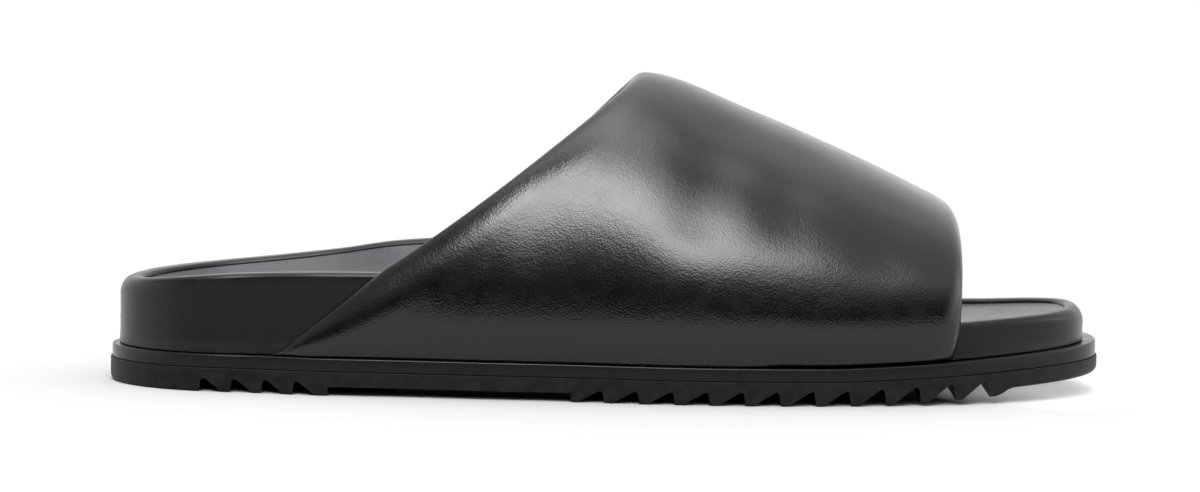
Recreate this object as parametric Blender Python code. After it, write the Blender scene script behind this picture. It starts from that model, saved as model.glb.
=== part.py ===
"""Slide sandal for the right foot: one broad padded band over a contoured footbed, on a toothed rubber sole.

Lengths are in metres. While it is built, x runs from the back of the footbed to its toe, y towards the inner
side of the foot and z up from the floor. The finished sandal is then moved so that the middle of its box lies
over the origin.
"""

import math
from collections import namedtuple

import bmesh
import bpy
import numpy as np

# Footbed in plan
FOOTBED_LENGTH = 0.28285
HEEL_WIDTH = 0.068
WAIST_WIDTH = 0.073
BALL_WIDTH = 0.097
TOE_WIDTH = 0.082
HEEL_ROUND = 0.036
TOE_ROUND = 0.060
WAIST_SWING = 0.0065
TOE_SWING = 0.0090

# Footbed heights, above its underside
HEEL_RIM = 0.0205
ARCH_RIM = 0.0290
OUTER_ARCH_RIM = 0.0240
BALL_RIM = 0.0135
TOE_RIM = 0.0099
HEEL_SEAT = 0.0112
ARCH_SEAT = 0.0150
BALL_SEAT = 0.0094
TOE_SEAT = 0.0070
RIM_ROUND = 0.0014
RIM_WIDTH = 0.0052
WALL_HOLLOW = 0.0005

# Layers of the sole
OUTSOLE_THICKNESS = 0.0068
MIDSOLE_THICKNESS = 0.0036
INSOLE_THICKNESS = 0.0015
LAYER_GAP = 0.0003
TOE_SPRING = 0.0048
SOLE_SPRING = 0.0042
SPRING_START = 0.2058
HEEL_LEDGE = 0.0021
SIDE_LEDGE = 0.0040
TOE_LEDGE = 0.0026
OUTSOLE_STEP = 0.0005
MIDSOLE_CHAMFER = 0.0004

# Tread
HEEL_NOTCHES = 4
HEEL_NOTCH_START = 0.0257
HEEL_NOTCH_PITCH = 0.0090
HEEL_NOTCH_WIDTH = 0.0068
HEEL_NOTCH_DEPTH = 0.0038
FORE_NOTCHES = 12
FORE_NOTCH_START = 0.14165
FORE_NOTCH_PITCH = 0.0100
FORE_NOTCH_WIDTH = 0.0080
REAR_NOTCH_DEPTH = 0.0034
FRONT_NOTCH_DEPTH = 0.0046
NOTCH_CROWN = 0.0016
ARCH_SLOT_START = 0.0629
ARCH_PAD_START = 0.0827
ARCH_SLOT_END = 0.1322
ARCH_SLOT_DEPTH = 0.0026
ARCH_PAD_INSET = 0.0045
ARCH_PAD_LIFT = 0.0004
TOE_RELIEF = 0.0019
TOE_RELIEF_START = 0.2537
TOE_RELIEF_RUN = 0.0050
END_ROUND = 0.0018
SIDE_ROUND = 0.0005
CUT_OVER = 0.0005

# Padded upper
UPPER_GAP = 0.0003
BASE_THICKNESS = 0.0030
SIDE_THICKNESS = 0.0058
CROWN_THICKNESS = 0.0078
WIDEST_HEIGHT = 0.0135
RIM_CLEARANCE = 0.0015
INSTEP_HEIGHT = 0.0907
FRONT_HEIGHT = 0.0535
CROWN_SWING = 0.0050
REAR_EDGE_OUTER = 0.04855
REAR_EDGE_INNER = 0.08785
REAR_EDGE_CROWN = 0.1496
REAR_EDGE_BOW = 0.76
FRONT_EDGE = 0.2439
FRONT_SWEEP = 0.0013
FRONT_TUCK = 0.0025

# Points on the curves
OUTLINE_STEPS = 44
ROUND_STEPS = 3
DISH_STEPS = 4
BASE_STEPS = 3
RIM_STEPS = 2
ARCH_STEPS = 12
BAND_STEPS = 24
ROLL_STEPS = 4
SPINE_REACH = 0.80
SPINE_RING = 0.16
DISH_POWER = 2.6

OUTER, INNER = -1, 1

Section = namedtuple("Section", "along centre width outer_rim inner_rim seat")
SECTIONS = (
    Section(0.00, 0.0, HEEL_WIDTH, 0.93 * HEEL_RIM, 0.93 * HEEL_RIM, HEEL_SEAT),
    Section(0.12, 0.0, HEEL_WIDTH, 1.10 * HEEL_RIM, 1.07 * HEEL_RIM, HEEL_SEAT),
    Section(0.22, -0.30 * WAIST_SWING, 0.99 * WAIST_WIDTH, 1.16 * HEEL_RIM, 0.855 * ARCH_RIM, 0.82 * ARCH_SEAT),
    Section(0.29, -0.55 * WAIST_SWING, 0.98 * WAIST_WIDTH, OUTER_ARCH_RIM, 0.98 * ARCH_RIM, 0.95 * ARCH_SEAT),
    Section(0.42, -WAIST_SWING, WAIST_WIDTH, 0.88 * OUTER_ARCH_RIM, 0.98 * ARCH_RIM, ARCH_SEAT),
    Section(0.57, -0.60 * WAIST_SWING, 0.91 * BALL_WIDTH, 1.20 * BALL_RIM, 0.66 * ARCH_RIM, 0.75 * ARCH_SEAT),
    Section(0.70, 0.20 * TOE_SWING, BALL_WIDTH, BALL_RIM, 1.08 * BALL_RIM, BALL_SEAT),
    Section(0.82, 0.55 * TOE_SWING, 0.94 * BALL_WIDTH, 1.07 * TOE_RIM, 1.06 * TOE_RIM, 0.95 * TOE_SEAT),
    Section(0.92, 0.80 * TOE_SWING, TOE_WIDTH, 1.02 * TOE_RIM, 0.97 * TOE_RIM, 0.92 * TOE_SEAT),
    Section(1.00, TOE_SWING, 0.96 * TOE_WIDTH, 0.97 * TOE_RIM, 0.97 * TOE_RIM, 1.02 * TOE_SEAT),
)

# How far the midsole stands out beyond the footbed
Ledge = namedtuple("Ledge", "along reach")
LEDGES = (Ledge(0.10, HEEL_LEDGE), Ledge(0.25, SIDE_LEDGE), Ledge(0.82, SIDE_LEDGE), Ledge(0.93, TOE_LEDGE))

# rise is the share of the way from the front edge's height to the instep's, squareness the power of the arch
Arch = namedtuple("Arch", "along rise swing outer_squareness inner_squareness")
ARCHES = (
    Arch(0.172, 0.73, 0.0, 1.90, 2.10),
    Arch(0.331, 1.055, 0.5 * CROWN_SWING, 1.90, 2.10),
    Arch(0.451, 1.137, CROWN_SWING, 1.90, 2.10),
    Arch(0.542, 1.035, CROWN_SWING, 1.95, 2.15),
    Arch(0.652, 0.722, CROWN_SWING, 2.05, 2.25),
    Arch(0.761, 0.370, 0.8 * CROWN_SWING, 2.20, 2.35),
    Arch(0.871, -0.033, 0.6 * CROWN_SWING, 2.35, 2.45),
)


def through(rows, column, along):
    """A column of a table at a share of the footbed's length, on a curve that never overshoots its rows."""
    xs = [row.along for row in rows]
    ys = [getattr(row, column) for row in rows]
    slopes = [(ys[i + 1] - ys[i]) / (xs[i + 1] - xs[i]) for i in range(len(xs) - 1)]
    tangents = [slopes[0]]
    for before, after in zip(slopes, slopes[1:]):
        same_way = before * after > 0
        tangents.append(2 * before * after / (before + after) if same_way else 0.0)
    tangents.append(slopes[-1])
    along = min(max(along, xs[0]), xs[-1])
    i = max(j for j in range(len(slopes)) if along >= xs[j])
    span = xs[i + 1] - xs[i]
    t = (along - xs[i]) / span
    start = ys[i] * (1 + 2 * t) * (1 - t) ** 2 + span * tangents[i] * t * (1 - t) ** 2
    end = ys[i + 1] * t**2 * (3 - 2 * t) - span * tangents[i + 1] * t**2 * (1 - t)
    return start + end


def section(column, x):
    return through(SECTIONS, column, x / FOOTBED_LENGTH)


def arch(column, x):
    return through(ARCHES, column, x / FOOTBED_LENGTH)


def ease(t):
    t = min(max(t, 0.0), 1.0)
    return t * t * (3 - 2 * t)


# Plan outline

def end_round(x):
    """How much of its width the footbed has at x: the heel is a half ellipse, the toe a fuller one."""
    heel = max(0.0, 1 - x / HEEL_ROUND)
    toe = max(0.0, 1 - (FOOTBED_LENGTH - x) / TOE_ROUND)
    return math.sqrt(max(0.0, 1 - heel**2)) * max(0.0, 1 - toe**2.5) ** 0.4


def edge_y(x, side):
    """The footbed's edge at x on one side."""
    return section("centre", x) + side * end_round(x) * section("width", x) / 2


def outline():
    """The footbed's outline in plan: heel, outer side, toe tip, inner side and back."""
    turns = [math.pi * i / OUTLINE_STEPS for i in range(OUTLINE_STEPS + 1)]
    xs = [FOOTBED_LENGTH * (1 - math.cos(turn)) / 2 for turn in turns]
    outer = [(x, edge_y(x, OUTER)) for x in xs]
    inner = [(x, edge_y(x, INNER)) for x in xs[-2:0:-1]]
    return np.array(outer + inner)


def outward(points):
    """Unit normals of a closed outline in plan."""
    tangent = np.roll(points, -1, axis=0) - np.roll(points, 1, axis=0)
    normal = np.column_stack([tangent[:, 1], -tangent[:, 0]])
    return normal / np.linalg.norm(normal, axis=1)[:, None]


def spread(points, reach):
    """The outline moved outwards by reach, which may differ from point to point."""
    return points + outward(points) * np.reshape(reach, (-1, 1))


def spine(points):
    """The line in the middle of the footbed that its rings close in on, with a point for each of theirs."""
    middle = FOOTBED_LENGTH / 2
    xs = middle + (points[:, 0] - middle) * SPINE_REACH
    return np.array([(x, section("centre", x)) for x in xs])


# Heights along the sole

def spring(x, height):
    """How far a layer that the toe raises by height is raised at x."""
    run = max(0.0, (x - SPRING_START) / (FOOTBED_LENGTH - SPRING_START))
    return height * run**1.35


def lift(x):
    return spring(x, SOLE_SPRING)


def footbed_floor(x):
    return spring(x, TOE_SPRING) + OUTSOLE_THICKNESS + MIDSOLE_THICKNESS + 2 * LAYER_GAP


def at(plan, height):
    """A ring of points over a plan outline, each at the height that its own x gives."""
    return np.array([(x, y, height(x)) for x, y in plan])


# Solids

def material(name, colour, roughness, metallic=0.0):
    made = bpy.data.materials.new(name)
    made.use_nodes = True
    shader = made.node_tree.nodes["Principled BSDF"]
    shader.inputs["Base Color"].default_value = (*colour, 1.0)
    shader.inputs["Roughness"].default_value = roughness
    shader.inputs["Metallic"].default_value = metallic
    return made


def add_solid(name, vertices, faces, finish):
    mesh = bpy.data.meshes.new(name)
    mesh.from_pydata([tuple(v) for v in vertices], [], faces)
    shape = bmesh.new()
    shape.from_mesh(mesh)
    bmesh.ops.recalc_face_normals(shape, faces=shape.faces)
    shape.to_mesh(mesh)
    shape.free()
    mesh.shade_smooth()
    mesh.set_sharp_from_angle(angle=math.radians(35))
    made = bpy.data.objects.new(name, mesh)
    bpy.context.scene.collection.objects.link(made)
    if finish:
        mesh.materials.append(finish)
    return made


def strips_across(first, count):
    """Faces that close a ring of the outline's points, in strips from its outer side to its inner side."""
    half = count // 2
    strips = [(first, first + 1, first + count - 1)]
    strips += [
        (first + k, first + k + 1, first + count - k - 1, first + count - k)
        for k in range(1, half - 1)
    ]
    return strips + [(first + half - 1, first + half, first + half + 1)]


def skin(rings):
    """Quads between neighbouring closed rings of equal count."""
    count = len(rings[0])
    return [
        (
            level * count + k,
            level * count + (k + 1) % count,
            (level + 1) * count + (k + 1) % count,
            (level + 1) * count + k,
        )
        for level in range(len(rings) - 1)
        for k in range(count)
    ]


def layer(name, rings, finish):
    """A closed solid of the sole, from a stack of rings with its first and last closed across."""
    count = len(rings[0])
    faces = skin(rings) + strips_across(0, count)
    faces += strips_across((len(rings) - 1) * count, count)
    return add_solid(name, np.concatenate(rings), faces, finish)


def prism(flat, low, high, place):
    """Vertices and faces of a prism; place turns a point of the flat outline and a depth into a position."""
    count = len(flat)
    vertices = [place(a, b, low) for a, b in flat] + [place(a, b, high) for a, b in flat]
    faces = [tuple(range(count)), tuple(range(count, 2 * count))]
    faces += [(k, (k + 1) % count, count + (k + 1) % count, count + k) for k in range(count)]
    return vertices, faces


def add_cutter(name, prisms):
    """Several prisms that don't meet, as one hidden object for a Boolean."""
    vertices, faces = [], []
    for corners, sides in prisms:
        faces += [tuple(len(vertices) + i for i in side) for side in sides]
        vertices += corners
    cutter = add_solid(name, vertices, faces, None)
    cutter.hide_render = True
    cutter.display_type = "WIRE"
    return cutter


# Outsole

def ledge_outline(points, beyond):
    """The footbed's outline widened by its ledge, and by a further reach beyond it."""
    ledges = [through(LEDGES, "reach", x / FOOTBED_LENGTH) for x, _ in points]
    return spread(points, [ledge + beyond for ledge in ledges])


def tread_floor(x):
    """The underside of the outsole before it is notched: it rises past the last tooth, towards the toe."""
    return lift(x) + TOE_RELIEF * ease((x - TOE_RELIEF_START) / TOE_RELIEF_RUN)


def notch(corner, width, depth, facing):
    """A saw-tooth notch in the side view, with its steep wall at corner and its slope facing that way."""
    floor = lift(corner)
    far_floor = lift(corner + facing * width)
    draft = 0.12 * depth
    slope = (width - draft - NOTCH_CROWN) / (0.94 * depth + floor - far_floor)
    return [
        (corner, floor - CUT_OVER),
        (corner, floor),
        (corner + facing * draft, floor + 0.80 * depth),
        (corner + facing * (draft + 0.35 * NOTCH_CROWN), floor + depth),
        (corner + facing * (draft + NOTCH_CROWN), floor + 0.94 * depth),
        (corner + facing * (width + slope * CUT_OVER), far_floor - CUT_OVER),
    ]


def across(x, z, y):
    return (x, y, z)


def upright(x, y, z):
    return (x, y, z)


def arch_side_slot(side):
    """Plan of the slot beside the arch pad: from the pad's side out past the edge of the outsole."""
    steps = 8
    xs = [ARCH_PAD_START + (ARCH_SLOT_END - ARCH_PAD_START) * i / steps for i in range(steps + 1)]
    pad = [(x, edge_y(x, side) - side * ARCH_PAD_INSET) for x in xs]
    return pad + [(ARCH_SLOT_END, side * BALL_WIDTH), (ARCH_PAD_START, side * BALL_WIDTH)]


def tread_cutter():
    span = BALL_WIDTH
    heel = [
        notch(HEEL_NOTCH_START + i * HEEL_NOTCH_PITCH, HEEL_NOTCH_WIDTH, HEEL_NOTCH_DEPTH, 1)
        for i in range(HEEL_NOTCHES)
    ]
    fore = []
    for i in range(FORE_NOTCHES):
        share = i / max(FORE_NOTCHES - 1, 1)
        depth = REAR_NOTCH_DEPTH + (FRONT_NOTCH_DEPTH - REAR_NOTCH_DEPTH) * share
        fore.append(notch(FORE_NOTCH_START + i * FORE_NOTCH_PITCH, FORE_NOTCH_WIDTH, depth, -1))
    slot = [
        (ARCH_SLOT_START, -OUTSOLE_THICKNESS),
        (ARCH_SLOT_START, ARCH_SLOT_DEPTH),
        (ARCH_PAD_START, ARCH_SLOT_DEPTH),
        (ARCH_PAD_START, -OUTSOLE_THICKNESS),
    ]
    prisms = [prism(flat, -span, span, across) for flat in [*heel, *fore, slot]]
    return add_cutter("tread_cutter", prisms)


def pad_cutter():
    """Leaves the arch pad standing inside the slot, and keeps its underside just off the floor."""
    sides = [
        prism(arch_side_slot(side), -OUTSOLE_THICKNESS, ARCH_SLOT_DEPTH, upright)
        for side in (OUTER, INNER)
    ]
    return add_cutter("arch_pad_cutter", sides)


def pad_lift_cutter():
    width = BALL_WIDTH
    under = [
        (ARCH_PAD_START, -width),
        (ARCH_SLOT_END, -width),
        (ARCH_SLOT_END, width),
        (ARCH_PAD_START, width),
    ]
    return add_cutter("pad_lift_cutter", [prism(under, -OUTSOLE_THICKNESS, ARCH_PAD_LIFT, upright)])


def cut(body, cutter):
    boolean = body.modifiers.new(cutter.name, "BOOLEAN")
    boolean.operation = "DIFFERENCE"
    boolean.object = cutter


def build_outsole(points, finish):
    edge = ledge_outline(points, OUTSOLE_STEP)
    facing = outward(points)
    rounding = SIDE_ROUND + (END_ROUND - SIDE_ROUND) * facing[:, 0] ** 2
    rings = [at(edge, lambda x: lift(x) + OUTSOLE_THICKNESS)]
    for i in range(ROUND_STEPS + 1):
        turn = math.pi / 2 * i / ROUND_STEPS
        ring = at(spread(edge, -rounding * (1 - math.cos(turn))), tread_floor)
        ring[:, 2] += rounding * (1 - math.sin(turn))
        rings.append(ring)
    outsole = layer("outsole", rings, finish)
    for cutter in (tread_cutter(), pad_cutter(), pad_lift_cutter()):
        cut(outsole, cutter)
    return outsole


# Midsole

def build_midsole(points, finish):
    edge = ledge_outline(points, 0.0)
    shoulder = spread(edge, np.full(len(edge), -MIDSOLE_CHAMFER))

    rings = [
        at(edge, lambda x: lift(x) + OUTSOLE_THICKNESS + LAYER_GAP),
        at(edge, lambda x: footbed_floor(x) - LAYER_GAP - MIDSOLE_CHAMFER),
        at(shoulder, lambda x: footbed_floor(x) - LAYER_GAP),
    ]
    return layer("midsole", rings, finish)


# Footbed and insole

def rim_heights(points):
    """The rim's top above the floor, over each point of the outline."""
    half = len(points) // 2
    columns = ["outer_rim" if k <= half else "inner_rim" for k in range(len(points))]
    return np.array([footbed_floor(x) + section(c, x) for (x, _), c in zip(points, columns)])


def dish_ring(points, share, drop):
    """A ring of the hollow that the foot rests in: its edge inside the rim at share 1, its spine at 0."""
    edge = spread(points, np.full(len(points), -RIM_WIDTH))
    middle = spine(points)
    plan = middle + (edge - middle) * share
    seat = np.array([footbed_floor(x) + section("seat", x) for x, _ in plan])
    heights = seat + (rim_heights(points) - seat) * share**DISH_POWER
    return np.column_stack([plan, heights - drop])


def dish_shares():
    return [1 - (1 - SPINE_RING) * i / DISH_STEPS for i in range(DISH_STEPS + 1)]


def build_footbed(points, finish):
    """The contoured bed with its wrapped side and rim, hollowed to take the insole."""
    rims = rim_heights(points)
    floor = at(points, footbed_floor)
    rings = [floor]
    for share in (0.30, 0.65):
        hollowed = at(spread(points, np.full(len(points), -WALL_HOLLOW)), footbed_floor)
        hollowed[:, 2] += (rims - floor[:, 2]) * share
        rings.append(hollowed)
    for i in range(ROUND_STEPS + 1):
        turn = math.pi / 2 * i / ROUND_STEPS
        inset = 0.5 * WALL_HOLLOW + RIM_ROUND * (1 - math.cos(turn))
        plan = spread(points, np.full(len(points), -inset))
        rings.append(np.column_stack([plan, rims - RIM_ROUND * (1 - math.sin(turn))]))
    crest = spread(points, np.full(len(points), LAYER_GAP - RIM_WIDTH))
    rings.append(np.column_stack([crest, rims]))
    bed = INSOLE_THICKNESS + LAYER_GAP
    rings.append(np.column_stack([crest, rims - bed]))
    rings += [dish_ring(points, share, bed) for share in dish_shares()[1:]]
    return layer("footbed", rings, finish)


def build_insole(points, finish):
    """The thin cover that lies in the footbed's hollow, flush with the rim."""
    under = [dish_ring(points, share, INSOLE_THICKNESS) for share in reversed(dish_shares())]
    over = [dish_ring(points, share, 0.0) for share in dish_shares()]
    return layer("insole", under + over, finish)


# Upper

def band_base(x):
    """Where the band's lower edge sits, just off the midsole."""
    return footbed_floor(x)


def widest(x, side):
    """The band's outermost point at x on one side, in y and z."""
    y = edge_y(x, side) + side * (UPPER_GAP + SIDE_THICKNESS)
    return y, band_base(x) + WIDEST_HEIGHT


def wall_top(x, side):
    """How high the band's lining stands straight up, clear of the footbed's rim."""
    rim = section("outer_rim" if side == OUTER else "inner_rim", x)
    return band_base(x) + max(rim, WIDEST_HEIGHT) + RIM_CLEARANCE


def crown(x):
    """The top of the band at x, in y and z."""
    height = FRONT_HEIGHT + (INSTEP_HEIGHT - FRONT_HEIGHT) * arch("rise", x)
    return arch("swing", x), height


def squareness(x, side):
    return arch("outer_squareness" if side == OUTER else "inner_squareness", x)


def arch_point(foot, top, power, turn):
    """A point of a superellipse quarter from foot, at turn 0, to top, at a quarter turn."""
    y = top[0] + (foot[0] - top[0]) * max(math.cos(turn), 0.0) ** (2 / power)
    z = foot[1] + (top[1] - foot[1]) * math.sin(turn) ** (2 / power)
    return y, z


def outer_skin(x, side, step):
    """The outside of the band at x: up the bulging side, past the rim, and over the arch to the crown."""
    side_y, side_z = widest(x, side)
    top = crown(x)
    power = squareness(x, side)
    if step <= BASE_STEPS:
        turn = math.pi / 2 * (1 - step / BASE_STEPS)
        tuck = SIDE_THICKNESS - BASE_THICKNESS
        y = side_y - side * tuck * (1 - math.cos(turn))
        z = side_z - WIDEST_HEIGHT * math.sin(turn)
        return np.array([x, y, z])
    reach = min((wall_top(x, side) - side_z) / (top[1] - side_z), 0.5)
    rim_turn = math.asin(reach ** (power / 2))
    if step <= BASE_STEPS + RIM_STEPS:
        share = (step - BASE_STEPS) / RIM_STEPS
        turn = math.asin((reach * share) ** (power / 2))
    else:
        share = (step - BASE_STEPS - RIM_STEPS) / ARCH_STEPS
        turn = rim_turn + (math.pi / 2 - rim_turn) * share
    return np.array([x, *arch_point((side_y, side_z), top, power, turn)])


def inner_skin(x, side, step):
    """The lining opposite outer_skin's point: straight up beside the footbed, then its own arch."""
    wall_y = edge_y(x, side) + side * UPPER_GAP
    wall_z = wall_top(x, side)
    if step <= BASE_STEPS + RIM_STEPS:
        return np.array([x, wall_y, min(outer_skin(x, side, step)[2], wall_z)])
    top_y, top_z = crown(x)
    turn = math.pi / 2 * (step - BASE_STEPS - RIM_STEPS) / ARCH_STEPS
    top = (top_y, top_z - CROWN_THICKNESS)
    return np.array([x, *arch_point((wall_y, wall_z), top, squareness(x, side), turn)])


def rear_cut(x, side):
    """Height of the slanted line that the band's rear edge follows, bowed backwards on the inner side."""
    start = REAR_EDGE_OUTER if side == OUTER else REAR_EDGE_INNER
    foot, top = band_base(start), crown(REAR_EDGE_CROWN)[1]
    share = (x - start) / (REAR_EDGE_CROWN - start)
    return foot + (top - foot) * share ** (1.0 if side == OUTER else REAR_EDGE_BOW)


def rear_edge(side, step):
    """The x where a line along the band meets its rear cut, by halving."""
    low = REAR_EDGE_OUTER if side == OUTER else REAR_EDGE_INNER
    high = REAR_EDGE_CROWN
    for _ in range(40):
        middle = (low + high) / 2
        if outer_skin(middle, side, step)[2] > rear_cut(middle, side):
            low = middle
        else:
            high = middle
    return (low + high) / 2


def front_edge(step):
    """The x of the front edge, a little further back at the sides and again where it meets the sole."""
    sweep = FRONT_SWEEP * (1 - step / (BASE_STEPS + RIM_STEPS + ARCH_STEPS)) ** 2
    return FRONT_EDGE - sweep - FRONT_TUCK * max(0.0, 1 - step / BASE_STEPS) ** 2


def girth():
    """Side and step of each line along the band, from its outer base over the crown to its inner base."""
    top = BASE_STEPS + RIM_STEPS + ARCH_STEPS
    return [(OUTER, step) for step in range(top + 1)] + [
        (INNER, step) for step in range(top - 1, -1, -1)
    ]


def edge_slant(lines, edges):
    """For each line along the band, the sine of the angle between it and the cut edge that it ends on."""
    points = [outer_skin(x, side, step) for (side, step), x in zip(lines, edges)]
    slants = []
    for i in range(len(points)):
        along_edge = points[min(i + 1, len(points) - 1)] - points[max(i - 1, 0)]
        cross = math.hypot(along_edge[1], along_edge[2])
        slants.append(max(cross / np.linalg.norm(along_edge), 0.5))
    return slants


def rolled_edge(outside, inside, forward):
    """Points of the half-round fold between the band's outside and its lining."""
    middle, half = (outside + inside) / 2, (outside - inside) / 2
    turns = [math.pi * i / ROLL_STEPS for i in range(1, ROLL_STEPS)]
    return [middle + half * math.cos(turn) + forward * math.sin(turn) for turn in turns]


def band_loop(side, step, rear, front, rear_slant, front_slant):
    """A closed line round the band's wall: the outside, the front fold, the lining and the rear fold."""
    def half_wall(x):
        return np.linalg.norm(outer_skin(x, side, step) - inner_skin(x, side, step)) / 2

    rear_roll, front_roll = half_wall(rear) / rear_slant, half_wall(front) / front_slant
    low, high = rear + rear_roll, front - front_roll
    xs = [low + (high - low) * i / BAND_STEPS for i in range(BAND_STEPS + 1)]
    outside = [outer_skin(x, side, step) for x in xs]
    inside = [inner_skin(x, side, step) for x in reversed(xs)]
    rear_way = outside[0] - outside[1]
    front_way = outside[-1] - outside[-2]
    rear_fold = rolled_edge(outside[0], inside[-1], rear_way / np.linalg.norm(rear_way) * rear_roll)
    front_fold = rolled_edge(outside[-1], inside[0], front_way / np.linalg.norm(front_way) * front_roll)
    return outside + front_fold + inside + rear_fold[::-1]


def loop_end(first):
    """Faces that close the band's wall at its base, from the outside to the lining."""
    total = 2 * (BAND_STEPS + 1) + 2 * (ROLL_STEPS - 1)
    lining = BAND_STEPS + ROLL_STEPS
    last = first + lining + BAND_STEPS
    strips = [(first + i, first + i + 1, last - i - 1, last - i) for i in range(BAND_STEPS)]
    front = tuple(first + i for i in range(BAND_STEPS, lining + 1))
    rear = tuple(first + i for i in (*range(lining + BAND_STEPS, total), 0))
    return [*strips, front, rear]


def build_upper(finish):
    lines = girth()
    rears = [rear_edge(side, step) for side, step in lines]
    fronts = [front_edge(step) for _, step in lines]
    slants = zip(edge_slant(lines, rears), edge_slant(lines, fronts))
    loops = [
        np.array(band_loop(side, step, rear, front, *slant))
        for (side, step), rear, front, slant in zip(lines, rears, fronts, slants)
    ]
    count = len(loops[0])
    faces = skin(loops) + loop_end(0) + loop_end((len(loops) - 1) * count)
    return add_solid("upper", np.concatenate(loops), faces, finish)


def centre_on_floor(solids):
    """Moves the sandal so that the middle of its box lies over the origin, with its sole on z = 0."""
    corners = np.array([v.co for solid in solids for v in solid.data.vertices])
    middle = (corners.min(axis=0) + corners.max(axis=0)) / 2
    for thing in bpy.data.objects:
        thing.location = (-middle[0], -middle[1], 0.0)


def main():
    for old in list(bpy.data.objects):
        bpy.data.objects.remove(old)
    rubber = material("black_rubber", (0.020, 0.021, 0.021), 0.55)
    edge = material("black_edge_coat", (0.014, 0.014, 0.015), 0.28)
    wrap = material("black_wrap_leather", (0.024, 0.025, 0.026), 0.48)
    cover = material("black_cover_leather", (0.030, 0.030, 0.032), 0.55)
    leather = material("black_nappa_leather", (0.018, 0.018, 0.019), 0.40)
    points = outline()
    solids = [
        build_outsole(points, rubber),
        build_midsole(points, edge),
        build_footbed(points, wrap),
        build_insole(points, cover),
        build_upper(leather),
    ]
    centre_on_floor(solids)


main()
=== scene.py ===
"""Looks of the slide sandal: its pieces finely modelled in leather and rubber, floor, light and camera."""

import math
from collections import namedtuple

import bmesh
import bpy
import numpy as np
from mathutils import Matrix, Vector


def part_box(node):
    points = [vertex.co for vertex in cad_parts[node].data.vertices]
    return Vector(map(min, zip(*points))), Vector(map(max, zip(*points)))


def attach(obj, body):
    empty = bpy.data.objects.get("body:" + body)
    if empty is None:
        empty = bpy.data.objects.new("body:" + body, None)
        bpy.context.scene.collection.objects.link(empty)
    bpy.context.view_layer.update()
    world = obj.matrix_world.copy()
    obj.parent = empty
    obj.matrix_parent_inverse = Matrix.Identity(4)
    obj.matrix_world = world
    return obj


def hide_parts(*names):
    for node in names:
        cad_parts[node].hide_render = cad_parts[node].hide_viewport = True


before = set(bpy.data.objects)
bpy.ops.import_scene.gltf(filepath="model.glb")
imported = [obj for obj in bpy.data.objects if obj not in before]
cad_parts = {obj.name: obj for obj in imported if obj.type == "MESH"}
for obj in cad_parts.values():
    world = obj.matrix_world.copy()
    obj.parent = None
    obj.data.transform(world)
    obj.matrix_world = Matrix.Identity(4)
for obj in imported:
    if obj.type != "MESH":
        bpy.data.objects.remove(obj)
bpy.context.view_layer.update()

# Footbed in plan, as in the solids
FOOTBED_LENGTH = 0.28285
HEEL_WIDTH = 0.068
WAIST_WIDTH = 0.073
BALL_WIDTH = 0.097
TOE_WIDTH = 0.082
HEEL_ROUND = 0.036
TOE_ROUND = 0.060
TOE_POWER = 2.5
WAIST_SWING = 0.0065
TOE_SWING = 0.0090

# Heights, as in the solids
HEEL_RIM = 0.0205
ARCH_RIM = 0.0290
OUTER_ARCH_RIM = 0.0240
BALL_RIM = 0.0135
TOE_RIM = 0.0099
HEEL_SEAT = 0.0112
ARCH_SEAT = 0.0150
BALL_SEAT = 0.0094
TOE_SEAT = 0.0070
RIM_ROUND = 0.0014

# The visible rim, softer than in the solids: its roll is rounder and lower at heel and toe, it is drawn in at
# the toe, and its inner side rolls down to the insole as a lip
END_RIM_ROUND = 0.0036
END_RIM_DROP = 0.0050
TOE_INSET = 0.0011
RIM_WIDTH = 0.0067
LIP_WIDTH = 0.0018
LIP_DROP = 0.0013

# How far the footbed's outer wall is hollowed, over which share of its height the hollow comes and goes, and
# how much of it goes again
WALL_HOLLOW = 0.0001
HOLLOW_RUN = 0.35
HOLLOW_RETURN = 0.5

# The hollow that the foot rests in, a little more bowl-shaped than in the solids: how much of the length its
# spine runs along, how far from the spine its innermost ring stands, and the power of its rise
SPINE_REACH = 0.80
SPINE_RING = 0.10
DISH_POWER = 3.2

# Layers of the sole, as in the solids
OUTSOLE_THICKNESS = 0.0068
MIDSOLE_THICKNESS = 0.0036
INSOLE_THICKNESS = 0.0015
LAYER_GAP = 0.0003
TOE_SPRING = 0.0048
SOLE_SPRING = 0.0042
SPRING_START = 0.2058
SPRING_POWER = 1.35
HEEL_LEDGE = 0.0021
SIDE_LEDGE = 0.0040
TOE_LEDGE = 0.0026
OUTSOLE_STEP = 0.0005

# Tread, as in the solids
HEEL_NOTCHES = 4
HEEL_NOTCH_START = 0.0257
HEEL_NOTCH_PITCH = 0.0090
HEEL_NOTCH_WIDTH = 0.0068
HEEL_NOTCH_DEPTH = 0.0038
FORE_NOTCHES = 12
FORE_NOTCH_START = 0.14165
FORE_NOTCH_PITCH = 0.0100
FORE_NOTCH_WIDTH = 0.0080
REAR_NOTCH_DEPTH = 0.0034
FRONT_NOTCH_DEPTH = 0.0046
NOTCH_CROWN = 0.0016
ARCH_SLOT_START = 0.0629
ARCH_PAD_START = 0.0827
ARCH_SLOT_END = 0.1322
ARCH_SLOT_DEPTH = 0.0026
ARCH_PAD_INSET = 0.0045
ARCH_PAD_LIFT = 0.0004
ARCH_PAD_STEPS = 24
TOE_RELIEF = 0.0019
TOE_RELIEF_START = 0.2537
TOE_RELIEF_RUN = 0.0050
END_ROUND = 0.0018
SIDE_ROUND = 0.0005
CUT_OVER = 0.0005

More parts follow.
